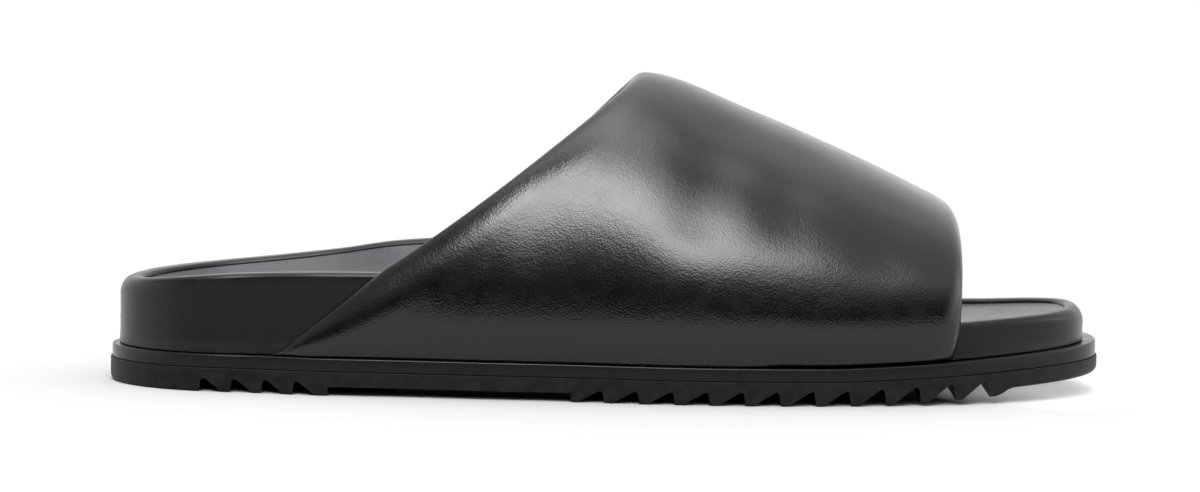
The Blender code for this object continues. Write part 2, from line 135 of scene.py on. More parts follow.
# Padded upper, as in the solids
UPPER_GAP = 0.0003
BASE_THICKNESS = 0.0030
SIDE_THICKNESS = 0.0058
CROWN_THICKNESS = 0.0078
WIDEST_HEIGHT = 0.0135
RIM_CLEARANCE = 0.0015
INSTEP_HEIGHT = 0.0907
FRONT_HEIGHT = 0.0535
CROWN_SWING = 0.0050
REAR_EDGE_OUTER = 0.04855
REAR_EDGE_INNER = 0.08785
REAR_EDGE_CROWN = 0.1496
REAR_EDGE_BOW = 0.76
FRONT_EDGE = 0.2439
FRONT_SWEEP = 0.0013
FRONT_TUCK = 0.0025

# Small edges of the visible pieces, and the seam under the midsole
TOP_BEVEL = 0.0005
LOW_BEVEL = 0.0002
COVER_BEVEL = 0.0003
COVER_GAP = 0.0001
MIDSOLE_SEAM = 0.4 * LAYER_GAP

# How finely the pieces are modelled
OUTLINE_STEPS = 150
ROUND_STEPS = 8
WALL_STEPS = 10
DISH_STEPS = 16
BASE_STEPS = 12
RIM_STEPS = 5
ARCH_STEPS = 60
TOP_STEP = BASE_STEPS + RIM_STEPS + ARCH_STEPS
BAND_STEPS = 120
ROLL_STEPS = 12
EDGE_HALVINGS = 30
EDGE_SAMPLES = 400

# Degrees above which an edge shades as a sharp one: as built, on pieces with rolled edges, and where cut
SHARP = 35
ROLLED_SHARP = 60
CUT_SHARP = 32

# The least slant that the band's folds reckon with, and the most of an arch's height that its rim takes up
SLANT_LIMIT = 0.5
RIM_REACH_LIMIT = 0.5

# How many faces of each fold the lining covers
LINING_TURN = 2

# How much thinner the band's padding gets towards its edges, from how far away, how much of that the crown is
# spared, and how far the rear roll stands out beyond a round one
REAR_THINNING = 0.0012
REAR_REACH = 0.012
CROWN_SPARING = 0.5
CROWN_SPARING_POWER = 3
REAR_STANDOUT = 0.0012
FRONT_THINNING = 0.0003
FRONT_REACH = 0.005

# Camera
CAMERA_ELEVATION = math.radians(4.6)
CAMERA_ROLL = math.radians(0.9)
CAMERA_DISTANCE = 1.5
CAMERA_LENS = 154.0
CAMERA_SENSOR = 36.0
CAMERA_AIM = Vector((-0.0019, 0.0, 0.0405))

# Studio: degrees from the front towards +x, or above the floor, over which each side of the softbox fades
SOFTBOX_LIGHT = 10.2
SOFTBOX_LEFT = (-34.0, -22.0)
SOFTBOX_RIGHT = (14.0, 32.0)
SOFTBOX_FOOT = (17.0, 37.5)
SOFTBOX_HEAD = (50.0, 76.0)
SOFTBOX_HEAD_SHARE = 0.4
SOFTBOX_LEFT_GAIN = 1.3
SOFTBOX_LEAN = 0.36

# The softbox's upper right corner is dimmer: degrees over which it dims, the share that is left, and how far
# this moves to the left for each degree between two heights
SOFTBOX_CORNER = (2.0, 30.0)
SOFTBOX_CORNER_SHARE = 0.36
SOFTBOX_CORNER_LEAN = 1.1
SOFTBOX_CORNER_HEIGHTS = (36.0, 62.0)

# The room round it: how bright each side is, and the degrees, or the shares of the way across or to the back,
# over which it fades
LEFT_LIGHT = 0.5
RIGHT_LIGHT = 1.25
LEFT_TO_RIGHT = (-0.5, 0.3)
HORIZON = (4.0, 28.0)
HIGH_LEFT_LIGHT = 1.8
HIGH_LEFT_TURN = (-60.0, -25.0)
HIGH_LEFT_HEIGHTS = (40.0, 75.0)
BACK_LIGHT = 1.1
HIGH_BACK_LIGHT = 1.5
FRONT_TO_BACK = (-0.05, 0.35)
BACK_HEIGHTS = (30.0, 60.0)
LOW_RIGHT_LIGHT = 2.2
LOW_RIGHT_ACROSS = (0.72, 0.95)
LOW_LEFT_LIGHT = 1.8
LOW_LEFT_ACROSS = (-0.97, -0.80)
LOW_LEFT_HEIGHTS = (5.0, 25.0)
OVERHEAD_LIGHT = 2.0
OVERHEAD = (64.0, 90.0)

# Floor
FLOOR_RADIUS = 9.0
FLOOR_CORNERS = 128
FLOOR_GREY = 0.50
FLOOR_UNEVENNESS = 0.01
FLOOR_PATCHES = 3.0

# Painted glow: the floor itself gives off light beside the toe, lightening the shade under the raised toe
TOE_GLOW = 0.45
TOE_GLOW_PLACE = (0.145, 0.0, 0.0)
TOE_GLOW_REACH = (0.020, 0.056)

# Wear: how convex an edge is where wear starts and where it is full, how thin it is between its patches, and
# how much paler and duller it makes a surface
WEAR_EDGES = (0.506, 0.522)
WEAR_LEAST = 0.2
WEAR_PALENESS = 0.006
WEAR_DULLNESS = 0.10

# How many features to the metre the patches of colour, roughness and wear have
Patches = namedtuple("Patches", "colour roughness wear")
LEATHER_PATCHES = Patches(70.0, 160.0, 420.0)
RUBBER_PATCHES = Patches(55.0, 240.0, 300.0)
EDGE_PATCHES = Patches(40.0, 120.0, 350.0)

# How far the roughness of a material strays from its own, down and up
LEATHER_STRAY = (-0.03, 0.04)
RUBBER_STRAY = (-0.05, 0.06)

# Reliefs: how many features to the metre, how finely they are broken up, how deep and how strong they are
Relief = namedtuple("Relief", "scale detail depth strength")
LEATHER_UNEVENNESS = Relief(420.0, 2.0, 0.0001, 0.3)
LEATHER_PORES = Relief(2600.0, 1.0, 0.00006, 0.25)
LEATHER_PEBBLES = Relief(1700.0, 0.0, 0.00006, 0.35)
RUBBER_GRAIN = Relief(1800.0, 3.0, 0.0001, 1.0)
EDGE_GRAIN = Relief(700.0, 3.0, 0.00008, 0.3)

# The edge of the midsole: its sheen, its shades and its least and greatest roughness
EDGE_SPECULAR = 0.24
EDGE_SHADES = ((0.0010, 0.0010, 0.0011), (0.0020, 0.0020, 0.0021))
EDGE_ROUGHNESS = (0.20, 0.28)

# Sockets of a Mix node that mixes colours
MIX_START = 6
MIX_END = 7
MIX_RESULT = 2

OUTER, INNER = -1, 1

# Sections of the footbed, as in the solids but with an inner rim up to 2 mm higher at the arch
Section = namedtuple("Section", "along centre width outer_rim inner_rim seat")
SECTIONS = (
    Section(0.00, 0.0, HEEL_WIDTH, 0.93 * HEEL_RIM, 0.93 * HEEL_RIM, HEEL_SEAT),
    Section(0.12, 0.0, HEEL_WIDTH, 1.10 * HEEL_RIM, 1.07 * HEEL_RIM, HEEL_SEAT),
    Section(
        0.22, -0.30 * WAIST_SWING, 0.99 * WAIST_WIDTH, 1.16 * HEEL_RIM, 0.87 * ARCH_RIM, 0.82 * ARCH_SEAT
    ),
    Section(
        0.29, -0.55 * WAIST_SWING, 0.98 * WAIST_WIDTH, OUTER_ARCH_RIM, 0.975 * ARCH_RIM, 0.95 * ARCH_SEAT
    ),
    Section(0.42, -WAIST_SWING, WAIST_WIDTH, 0.88 * OUTER_ARCH_RIM, 1.05 * ARCH_RIM, ARCH_SEAT),
    Section(
        0.57, -0.60 * WAIST_SWING, 0.91 * BALL_WIDTH, 1.20 * BALL_RIM, 0.66 * ARCH_RIM, 0.75 * ARCH_SEAT
    ),
    Section(0.70, 0.20 * TOE_SWING, BALL_WIDTH, BALL_RIM, 1.08 * BALL_RIM, BALL_SEAT),
    Section(0.82, 0.55 * TOE_SWING, 0.94 * BALL_WIDTH, 1.07 * TOE_RIM, 1.06 * TOE_RIM, 0.95 * TOE_SEAT),
    Section(0.92, 0.80 * TOE_SWING, TOE_WIDTH, 1.02 * TOE_RIM, 0.97 * TOE_RIM, 0.92 * TOE_SEAT),
    Section(1.00, TOE_SWING, 0.96 * TOE_WIDTH, 0.97 * TOE_RIM, 0.97 * TOE_RIM, 1.02 * TOE_SEAT),
)

# How far the midsole stands out beyond the footbed
Ledge = namedtuple("Ledge", "along reach")
LEDGES = (
    Ledge(0.10, HEEL_LEDGE),
    Ledge(0.25, SIDE_LEDGE),
    Ledge(0.82, SIDE_LEDGE),
    Ledge(0.93, TOE_LEDGE),
)

# rise is the share of the way from the front edge's height to the instep's, squareness the power of the arch
Arch = namedtuple("Arch", "along rise swing outer_squareness inner_squareness")
ARCHES = (
    Arch(0.172, 0.73, 0.0, 1.90, 2.10),
    Arch(0.331, 1.055, 0.5 * CROWN_SWING, 1.90, 2.10),
    Arch(0.451, 1.137, CROWN_SWING, 1.90, 2.10),
    Arch(0.542, 1.035, CROWN_SWING, 1.95, 2.15),
    Arch(0.652, 0.722, CROWN_SWING, 2.05, 2.25),
    Arch(0.761, 0.370, 0.8 * CROWN_SWING, 2.20, 2.35),
    Arch(0.871, -0.033, 0.6 * CROWN_SWING, 2.35, 2.45),
)

# Soft dents in the padding, each a trough along a short line: places are shares of the footbed's length and
# of the instep's height, widths and depths are lengths, and a negative depth swells
Dent = namedtuple("Dent", "side along height to_along to_height width depth")
DENTS = (
    Dent(OUTER, 0.614, 0.84, 0.594, 0.57, 0.0100, 0.0010),
    Dent(OUTER, 0.690, 0.76, 0.680, 0.59, 0.0088, 0.0006),
    Dent(OUTER, 0.785, 0.60, 0.775, 0.49, 0.0090, 0.0004),
    Dent(OUTER, 0.680, 0.125, 0.850, 0.125, 0.0060, 0.0006),
    Dent(OUTER, 0.350, 0.225, 0.600, 0.225, 0.0065, -0.00025),
    Dent(OUTER, 0.640, 0.225, 0.840, 0.230, 0.0075, -0.00040),
    Dent(OUTER, 0.710, 0.225, 0.840, 0.230, 0.0070, -0.00030),
    Dent(INNER, 0.610, 0.82, 0.625, 0.60, 0.0085, 0.0012),
    Dent(INNER, 0.730, 0.60, 0.740, 0.46, 0.0095, 0.0008),
)


def through(rows, column, along):
    """A column of a table at shares of the footbed's length, on a curve that never overshoots its rows."""
    xs = np.array([row.along for row in rows])
    ys = np.array([getattr(row, column) for row in rows])
    slopes = np.diff(ys) / np.diff(xs)
    product = slopes[:-1] * slopes[1:]
    total = slopes[:-1] + slopes[1:]
    inner = np.where(product > 0, 2 * product / np.where(total == 0, 1.0, total), 0.0)
    tangents = np.concatenate([slopes[:1], inner, slopes[-1:]])
    along = np.clip(along, xs[0], xs[-1])
    i = np.clip(np.searchsorted(xs, along, side="right") - 1, 0, len(slopes) - 1)
    span = xs[i + 1] - xs[i]
    t = (along - xs[i]) / span
    start = ys[i] * (1 + 2 * t) * (1 - t) ** 2 + span * tangents[i] * t * (1 - t) ** 2
    end = ys[i + 1] * t**2 * (3 - 2 * t) - span * tangents[i + 1] * t**2 * (1 - t)
    return start + end


def section(column, x):
    return through(SECTIONS, column, x / FOOTBED_LENGTH)


def arch(column, x):
    return through(ARCHES, column, x / FOOTBED_LENGTH)


def ease(t):
    t = np.clip(t, 0.0, 1.0)
    return t * t * (3 - 2 * t)


# Plan outline and heights, as in the solids

def end_round(x):
    heel = np.maximum(0.0, 1 - x / HEEL_ROUND)
    toe = np.maximum(0.0, 1 - (FOOTBED_LENGTH - x) / TOE_ROUND)
    return np.sqrt(np.maximum(0.0, 1 - heel**2)) * np.maximum(0.0, 1 - toe**TOE_POWER) ** (1 / TOE_POWER)


def edge_y(x, side):
    return section("centre", x) + side * end_round(x) * section("width", x) / 2


def outline():
    """The footbed's outline in plan: heel, outer side, toe tip, inner side and back."""
    turns = math.pi * np.arange(OUTLINE_STEPS + 1) / OUTLINE_STEPS
    xs = FOOTBED_LENGTH * (1 - np.cos(turns)) / 2
    outer = np.column_stack([xs, edge_y(xs, OUTER)])
    inner = np.column_stack([xs, edge_y(xs, INNER)])[-2:0:-1]
    return np.concatenate([outer, inner])


def outward(points):
    """Unit normals of a closed outline in plan."""
    tangent = np.roll(points, -1, axis=0) - np.roll(points, 1, axis=0)
    normal = np.column_stack([tangent[:, 1], -tangent[:, 0]])
    return normal / np.linalg.norm(normal, axis=1)[:, None]


def spread(points, reach):
    """The outline moved outwards by reach, which may differ from point to point."""
    reach = np.broadcast_to(reach, len(points))
    return points + outward(points) * reach[:, None]


def spring(x, height):
    """How far a layer that the toe raises by height is raised at x."""
    run = np.maximum(0.0, (x - SPRING_START) / (FOOTBED_LENGTH - SPRING_START))
    return height * run**SPRING_POWER


def lift(x):
    return spring(x, SOLE_SPRING)


def footbed_floor(x):
    return spring(x, TOE_SPRING) + OUTSOLE_THICKNESS + MIDSOLE_THICKNESS + 2 * LAYER_GAP


def at(plan, heights):
    """A ring of points over a plan outline."""
    return np.column_stack([plan, heights])


def quarter_turns():
    """The angles of a rounded edge's points, a quarter of a circle in all."""
    return [math.pi / 2 * i / ROUND_STEPS for i in range(ROUND_STEPS + 1)]


# Closed pieces

def add_piece(name, vertices, faces, finish, sharp=SHARP):
    """A closed smooth piece in the frame's place, made from the script's own x, y and z."""
    mesh = bpy.data.meshes.new(name)
    mesh.from_pydata([tuple(v) for v in vertices + frame_shift()], [], faces)
    shape = bmesh.new()
    shape.from_mesh(mesh)
    bmesh.ops.recalc_face_normals(shape, faces=shape.faces)
    shape.to_mesh(mesh)
    shape.free()
    mesh.shade_smooth()
    mesh.set_sharp_from_angle(angle=math.radians(sharp))
    if finish:
        mesh.materials.append(finish)
    piece = bpy.data.objects.new(name, mesh)
    bpy.context.scene.collection.objects.link(piece)
    return piece


def stand_for(piece, node):
    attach(piece, "root")
    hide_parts(node)


def strips_across(first, count):
    """Faces that close a ring of the outline's points, in strips from its outer side to its inner side."""
    half = count // 2
    strips = [(first, first + 1, first + count - 1)]
    strips += [
        (first + k, first + k + 1, first + count - k - 1, first + count - k)
        for k in range(1, half - 1)
    ]
    return strips + [(first + half - 1, first + half, first + half + 1)]


def layer(name, rings, finish, sharp=SHARP):
    """A closed piece of the sole, from a stack of rings with its first and last closed across."""
    count = len(rings[0])
    faces = skin_faces(len(rings), count) + strips_across(0, count)
    faces += strips_across((len(rings) - 1) * count, count)
    return add_piece(name, np.concatenate(rings), faces, finish, sharp)


# Outsole

def ledge_outline(points, beyond):
    """The footbed's outline widened by its ledge, and by a further reach beyond it."""
    return spread(points, through(LEDGES, "reach", points[:, 0] / FOOTBED_LENGTH) + beyond)


def tread_floor(x):
    return lift(x) + TOE_RELIEF * ease((x - TOE_RELIEF_START) / TOE_RELIEF_RUN)


def notch(corner, width, depth, facing):
    """A saw-tooth notch in the side view, with its steep wall at corner and its slope facing that way."""
    floor = lift(corner)
    far_floor = lift(corner + facing * width)
    draft = 0.12 * depth
    slope = (width - draft - NOTCH_CROWN) / (0.94 * depth + floor - far_floor)
    return [
        (corner, floor - CUT_OVER),
        (corner, floor),
        (corner + facing * draft, floor + 0.80 * depth),
        (corner + facing * (draft + 0.12 * NOTCH_CROWN), floor + 0.93 * depth),
        (corner + facing * (draft + 0.35 * NOTCH_CROWN), floor + depth),
        (corner + facing * (draft + 0.65 * NOTCH_CROWN), floor + depth),
        (corner + facing * (draft + NOTCH_CROWN), floor + 0.94 * depth),
        (corner + facing * (width + slope * CUT_OVER), far_floor - CUT_OVER),
    ]


def prism(flat, low, high, place):
    """Vertices and faces of a prism; place turns a point of the flat outline and a depth into a position."""
    count = len(flat)
    vertices = [place(a, b, low) for a, b in flat] + [place(a, b, high) for a, b in flat]
    faces = [tuple(range(count)), tuple(range(count, 2 * count))]
    faces += [(k, (k + 1) % count, count + (k + 1) % count, count + k) for k in range(count)]
    return vertices, faces


def across(x, z, y):
    return (x, y, z)


def upright(x, y, z):
    return (x, y, z)


def add_cutter(name, prisms):
    vertices, faces = [], []
    for corners, sides in prisms:
        faces += [tuple(len(vertices) + i for i in side) for side in sides]
        vertices += corners
    return add_piece(name, np.array(vertices, float), faces, None)


def tread_cutter():
    heel = [
        notch(HEEL_NOTCH_START + i * HEEL_NOTCH_PITCH, HEEL_NOTCH_WIDTH, HEEL_NOTCH_DEPTH, 1)
        for i in range(HEEL_NOTCHES)
    ]
    fore = []
    for i in range(FORE_NOTCHES):
        share = i / (FORE_NOTCHES - 1)
        depth = REAR_NOTCH_DEPTH + (FRONT_NOTCH_DEPTH - REAR_NOTCH_DEPTH) * share
        fore.append(notch(FORE_NOTCH_START + i * FORE_NOTCH_PITCH, FORE_NOTCH_WIDTH, depth, -1))
    slot = [
        (ARCH_SLOT_START, -OUTSOLE_THICKNESS),
        (ARCH_SLOT_START, ARCH_SLOT_DEPTH),
        (ARCH_PAD_START, ARCH_SLOT_DEPTH),
        (ARCH_PAD_START, -OUTSOLE_THICKNESS),
    ]
    flats = [*heel, *fore, slot]
    return add_cutter("tread_cutter", [prism(flat, -BALL_WIDTH, BALL_WIDTH, across) for flat in flats])


def pad_cutter():
    """Leaves the arch pad standing inside the slot."""
    sides = []
    for side in (OUTER, INNER):
        xs = np.linspace(ARCH_PAD_START, ARCH_SLOT_END, ARCH_PAD_STEPS + 1)
        pad = list(zip(xs, edge_y(xs, side) - side * ARCH_PAD_INSET))
        plan = pad + [(ARCH_SLOT_END, side * BALL_WIDTH), (ARCH_PAD_START, side * BALL_WIDTH)]
        sides.append(prism(plan, -OUTSOLE_THICKNESS, ARCH_SLOT_DEPTH, upright))
    return add_cutter("pad_cutter", sides)


def pad_lift_cutter():
    """Keeps the arch pad's underside just off the floor."""
    ends = (ARCH_PAD_START, ARCH_SLOT_END)
    plan = [(ends[0], -BALL_WIDTH), (ends[1], -BALL_WIDTH), (ends[1], BALL_WIDTH), (ends[0], BALL_WIDTH)]
    return add_cutter("pad_lift_cutter", [prism(plan, -OUTSOLE_THICKNESS, ARCH_PAD_LIFT, upright)])


def cut_away(body, cutters):
    """Cuts the cutters out of a body, keeps the result as its mesh and removes the cutters."""
    for cutter in cutters:
        boolean = body.modifiers.new(cutter.name, "BOOLEAN")
        boolean.operation = "DIFFERENCE"
        boolean.object = cutter
    seen = body.evaluated_get(bpy.context.evaluated_depsgraph_get())
    mesh = bpy.data.meshes.new_from_object(seen)
    mesh.name = body.name
    body.modifiers.clear()
    body.data = mesh
    for cutter in cutters:
        bpy.data.objects.remove(cutter)
    mesh.shade_smooth()
    mesh.set_sharp_from_angle(angle=math.radians(CUT_SHARP))


def build_outsole(points, finish):
    edge = ledge_outline(points, OUTSOLE_STEP)
    rounding = SIDE_ROUND + (END_ROUND - SIDE_ROUND) * outward(points)[:, 0] ** 2
    top = lift(points[:, 0]) + OUTSOLE_THICKNESS
    rings = [at(spread(edge, -LOW_BEVEL), top), at(edge, top - LOW_BEVEL)]
    for turn in quarter_turns():
        plan = spread(edge, -rounding * (1 - math.cos(turn)))
        rings.append(at(plan, tread_floor(plan[:, 0]) + rounding * (1 - math.sin(turn))))
    outsole = layer("rubber_outsole", rings, finish)
    cut_away(outsole, [tread_cutter(), pad_cutter(), pad_lift_cutter()])
    stand_for(outsole, "outsole")


# Midsole

def build_midsole(points, finish):
    """The thin band between outsole and footbed, with polished, softly rounded edges."""
    edge = ledge_outline(points, 0.0)
    low = lift(points[:, 0]) + OUTSOLE_THICKNESS + MIDSOLE_SEAM
    high = footbed_floor(points[:, 0]) - LAYER_GAP
    rings = []
    for turn in quarter_turns():
        plan = spread(edge, -LOW_BEVEL * (1 - math.sin(turn)))
        rings.append(at(plan, low + LOW_BEVEL * (1 - math.cos(turn))))
    for turn in quarter_turns():
        plan = spread(edge, -TOP_BEVEL * (1 - math.cos(turn)))
        rings.append(at(plan, high - TOP_BEVEL * (1 - math.sin(turn))))
    stand_for(layer("edge_band", rings, finish, ROLLED_SHARP), "midsole")


# Footbed and insole

def rim_heights(points):
    """The rim's top above the floor, over each point of the outline."""
    half = len(points) // 2
    xs = points[:, 0]
    rims = np.where(np.arange(len(points)) <= half, section("outer_rim", xs), section("inner_rim", xs))
    return footbed_floor(xs) + rims


def spine(points):
    """The line in the middle of the footbed that its rings close in on, with a point for each of theirs."""
    middle = FOOTBED_LENGTH / 2
    xs = middle + (points[:, 0] - middle) * SPINE_REACH
    return np.column_stack([xs, section("centre", xs)])


def dish_ring(points, share, drop, inset=0.0):
    """A ring of the hollow that the foot rests in: its edge inside the rim at share 1, its spine at 0."""
    edge = spread(points, -RIM_WIDTH - inset)
    middle = spine(points)
    plan = middle + (edge - middle) * share
    seat = footbed_floor(plan[:, 0]) + section("seat", plan[:, 0])
    return at(plan, seat + (rim_heights(points) - LIP_DROP - seat) * share**DISH_POWER - drop)


def dish_shares():
    return [1 - (1 - SPINE_RING) * i / DISH_STEPS for i in range(DISH_STEPS + 1)]


def footbed_side(points, floor, rims):
    """The footbed's outer wall and the roll of its rim, from the floor up."""
    ends = outward(points)[:, 0]
    drawn_in = TOE_INSET * np.maximum(0.0, ends) ** 2
    rounding = RIM_ROUND + (END_RIM_ROUND - RIM_ROUND) * ends**4
    drop = RIM_ROUND + (END_RIM_DROP - RIM_ROUND) * ends**4
    tall = rims - floor - drop
    rings = []
    for i in range(WALL_STEPS + 1):
        share = i / WALL_STEPS
        going = HOLLOW_RETURN * ease((share - 1 + HOLLOW_RUN) / HOLLOW_RUN)
        hollow = WALL_HOLLOW * ease(share / HOLLOW_RUN) * (1 - going)
        rings.append(at(spread(points, -hollow - drawn_in), floor + tall * share))
    for turn in quarter_turns()[1:]:
        inset = (1 - HOLLOW_RETURN) * WALL_HOLLOW + drawn_in + rounding * (1 - math.cos(turn))
        rings.append(at(spread(points, -inset), rims - drop * (1 - math.sin(turn))))
    return rings


def build_footbed(points, finish):
    """The contoured bed with its wrapped side, rim and lip, hollowed to take the insole."""
    rims = rim_heights(points)
    rings = footbed_side(points, footbed_floor(points[:, 0]), rims)
    for turn in quarter_turns():
        inset = RIM_WIDTH - COVER_GAP - LIP_WIDTH * (1 - math.sin(turn))
        rings.append(at(spread(points, -inset), rims - LIP_DROP * (1 - math.cos(turn))))
    bed = INSOLE_THICKNESS + LAYER_GAP
    rings.append(at(spread(points, COVER_GAP - RIM_WIDTH), rims - LIP_DROP - bed))
    rings += [dish_ring(points, share, bed) for share in dish_shares()[1:]]
    stand_for(layer("wrapped_footbed", rings, finish, ROLLED_SHARP), "footbed")


def build_insole(points, finish):
    """The thin cover that lies in the footbed's hollow, up to its lip and soft at its edge."""
    rings = [dish_ring(points, share, INSOLE_THICKNESS) for share in reversed(dish_shares())]
    for turn in quarter_turns()[:-1]:
        inset = COVER_BEVEL * (1 - math.cos(turn))
        rings.append(dish_ring(points, 1.0, COVER_BEVEL * (1 - math.sin(turn)), inset))
    rings += [dish_ring(points, share, 0.0) for share in dish_shares()]
    stand_for(layer("insole_cover", rings, finish, ROLLED_SHARP), "insole")


# Band

def crown(x):
    return arch("swing", x), FRONT_HEIGHT + (INSTEP_HEIGHT - FRONT_HEIGHT) * arch("rise", x)


def squareness(x, side):
    return arch("outer_squareness" if side == OUTER else "inner_squareness", x)


def wall_top(x, side):
    rim = section("outer_rim" if side == OUTER else "inner_rim", x)
    return footbed_floor(x) + np.maximum(rim, WIDEST_HEIGHT) + RIM_CLEARANCE


def arch_point(foot, top, power, turn):
    y = top[0] + (foot[0] - top[0]) * np.maximum(np.cos(turn), 0.0) ** (2 / power)
    z = foot[1] + (top[1] - foot[1]) * np.maximum(np.sin(turn), 0.0) ** (2 / power)
    return y, z


def outer_skin(x, side, step):
    """The outside of the band at each x: up the bulging side, past the rim and over the arch to the crown."""
    x = np.atleast_1d(np.asarray(x, float))
    side_y = edge_y(x, side) + side * (UPPER_GAP + SIDE_THICKNESS)
    side_z = footbed_floor(x) + WIDEST_HEIGHT
    top = crown(x)
    power = squareness(x, side)
    if step <= BASE_STEPS:
        turn = math.pi / 2 * (1 - step / BASE_STEPS)
        tuck = SIDE_THICKNESS - BASE_THICKNESS
        y = side_y - side * tuck * (1 - math.cos(turn))
        z = side_z - WIDEST_HEIGHT * math.sin(turn)
        return np.column_stack([x, y, z])
    reach = np.minimum((wall_top(x, side) - side_z) / (top[1] - side_z), RIM_REACH_LIMIT)
    rim_turn = np.arcsin(reach ** (power / 2))
    if step <= BASE_STEPS + RIM_STEPS:
        share = (step - BASE_STEPS) / RIM_STEPS
        turn = np.arcsin((reach * share) ** (power / 2))
    else:
        share = (step - BASE_STEPS - RIM_STEPS) / ARCH_STEPS
        turn = rim_turn + (math.pi / 2 - rim_turn) * share
    return np.column_stack([x, *arch_point((side_y, side_z), top, power, turn)])


def inner_skin(x, side, step):
    """The lining opposite outer_skin's points: straight up beside the footbed, then its own arch."""
    x = np.atleast_1d(np.asarray(x, float))
    wall_y = edge_y(x, side) + side * UPPER_GAP
    wall_z = wall_top(x, side)
    if step <= BASE_STEPS + RIM_STEPS:
        z = np.minimum(outer_skin(x, side, step)[:, 2], wall_z)
        return np.column_stack([x, wall_y, z])
    top_y, top_z = crown(x)
    turn = math.pi / 2 * (step - BASE_STEPS - RIM_STEPS) / ARCH_STEPS
    top = (top_y, top_z - CROWN_THICKNESS)
    return np.column_stack([x, *arch_point((wall_y, wall_z), top, squareness(x, side), turn)])


def rear_cut(x, side):
    start = REAR_EDGE_OUTER if side == OUTER else REAR_EDGE_INNER
    foot, top = footbed_floor(start), crown(REAR_EDGE_CROWN)[1]
    share = (x - start) / (REAR_EDGE_CROWN - start)
    return foot + (top - foot) * share ** (1.0 if side == OUTER else REAR_EDGE_BOW)


def rear_edge(side, step):
    low = REAR_EDGE_OUTER if side == OUTER else REAR_EDGE_INNER
    high = REAR_EDGE_CROWN
    for _ in range(EDGE_HALVINGS):
        middle = (low + high) / 2
        if outer_skin(middle, side, step)[0, 2] > rear_cut(middle, side):
            low = middle
        else:
            high = middle
    return (low + high) / 2


def front_edge(step):
    sweep = FRONT_SWEEP * (1 - step / TOP_STEP) ** 2
    return FRONT_EDGE - sweep - FRONT_TUCK * max(0.0, 1 - step / BASE_STEPS) ** 2


def girth():
    return [(OUTER, step) for step in range(TOP_STEP + 1)] + [
        (INNER, step) for step in range(TOP_STEP - 1, -1, -1)
    ]


def edge_slant(lines, edges):
    points = np.array([outer_skin(x, side, step)[0] for (side, step), x in zip(lines, edges)])
    along_edge = np.gradient(points, axis=0)
    cross = np.linalg.norm(along_edge[:, 1:], axis=1)
    return np.maximum(cross / np.linalg.norm(along_edge, axis=1), SLANT_LIMIT)


def rolled_edge(outside, inside, first_way, last_way):
    """The fold from the outside to the lining, leaving along first_way and arriving along last_way."""
    middle, half = (outside + inside) / 2, (outside - inside) / 2
    fold = []
    for i in range(1, ROLL_STEPS):
        turn = math.pi * i / ROLL_STEPS
        forward = last_way + (first_way - last_way) * (1 + math.cos(turn)) / 2
        fold.append(middle + half * math.cos(turn) + forward * math.sin(turn))
    return np.array(fold)


def unit(vector):
    return vector / np.linalg.norm(vector)


def thinned(skin, inside, crowning):
    """The outside brought nearer to its lining towards the rear and front edges, and less so at the crown."""
    steps = np.linalg.norm(np.diff(skin, axis=0), axis=1)
    along = np.concatenate([[0.0], np.cumsum(steps)])
    rear_thinning = (1 - CROWN_SPARING * crowning) * REAR_THINNING
    rear = rear_thinning * np.maximum(0.0, 1 - along / REAR_REACH) ** 2
    front = FRONT_THINNING * np.maximum(0.0, 1 - (along[-1] - along) / FRONT_REACH) ** 2
    inwards = inside - skin
    inwards /= np.linalg.norm(inwards, axis=1)[:, None]
    return skin + inwards * (rear + front)[:, None]


def band_loop(side, step, rear, front, rear_slant, front_slant):
    """A closed line round the band's wall: the outside, the front fold, the lining and the rear fold."""
    def half_wall(x):
        return np.linalg.norm(outer_skin(x, side, step) - inner_skin(x, side, step)) / 2

    rear_roll, front_roll = half_wall(rear) / rear_slant, half_wall(front) / front_slant
    xs = np.linspace(rear + rear_roll, front - front_roll, BAND_STEPS + 1)
    skin = outer_skin(xs, side, step)
    inside = inner_skin(xs, side, step)
    outside = thinned(skin, inside, (step / TOP_STEP) ** CROWN_SPARING_POWER)
    rear_reach = rear_roll + REAR_STANDOUT
    rear_ways = (unit(outside[0] - outside[1]) * rear_reach, unit(skin[0] - skin[1]) * rear_reach)
    front_ways = (unit(outside[-1] - outside[-2]) * front_roll, unit(skin[-1] - skin[-2]) * front_roll)
    rear_fold = rolled_edge(outside[0], inside[0], *rear_ways)[::-1]
    front_fold = rolled_edge(outside[-1], inside[-1], *front_ways)
    return np.concatenate([outside, front_fold, inside[::-1], rear_fold])


# Padding

def on_side(along, height, side):
    """The point of the band's outside at a share of the footbed's length and of the instep's height."""
    x, z = along * FOOTBED_LENGTH, height * INSTEP_HEIGHT
    skin = np.array([outer_skin(x, side, step)[0] for step in range(TOP_STEP + 1)])
    return skin[np.argmin(abs(skin[:, 2] - z))]


def dent_depth(points, dent):
    """How far each point sinks into one dent."""
    start = on_side(dent.along, dent.height, dent.side)
    end = on_side(dent.to_along, dent.to_height, dent.side)
    line = end - start
    share = np.clip((points - start) @ line / (line @ line), 0.0, 1.0)
    distance = np.linalg.norm(points - start - share[:, None] * line, axis=1)
    return dent.depth * np.exp(-((distance / dent.width) ** 2))


def shoulder(points):
    """1 on the outside of the band and 0 on its lining, from the loops' layout."""
    along = np.zeros(2 * (BAND_STEPS + 1) + 2 * (ROLL_STEPS - 1))
    along[: BAND_STEPS + 1] = 1.0
    fade = np.linspace(1.0, 0.0, ROLL_STEPS + 1)[1:-1]
    along[BAND_STEPS + 1 : BAND_STEPS + ROLL_STEPS] = fade
    along[-(ROLL_STEPS - 1) :] = fade[::-1]
    return np.tile(along, len(points) // len(along))


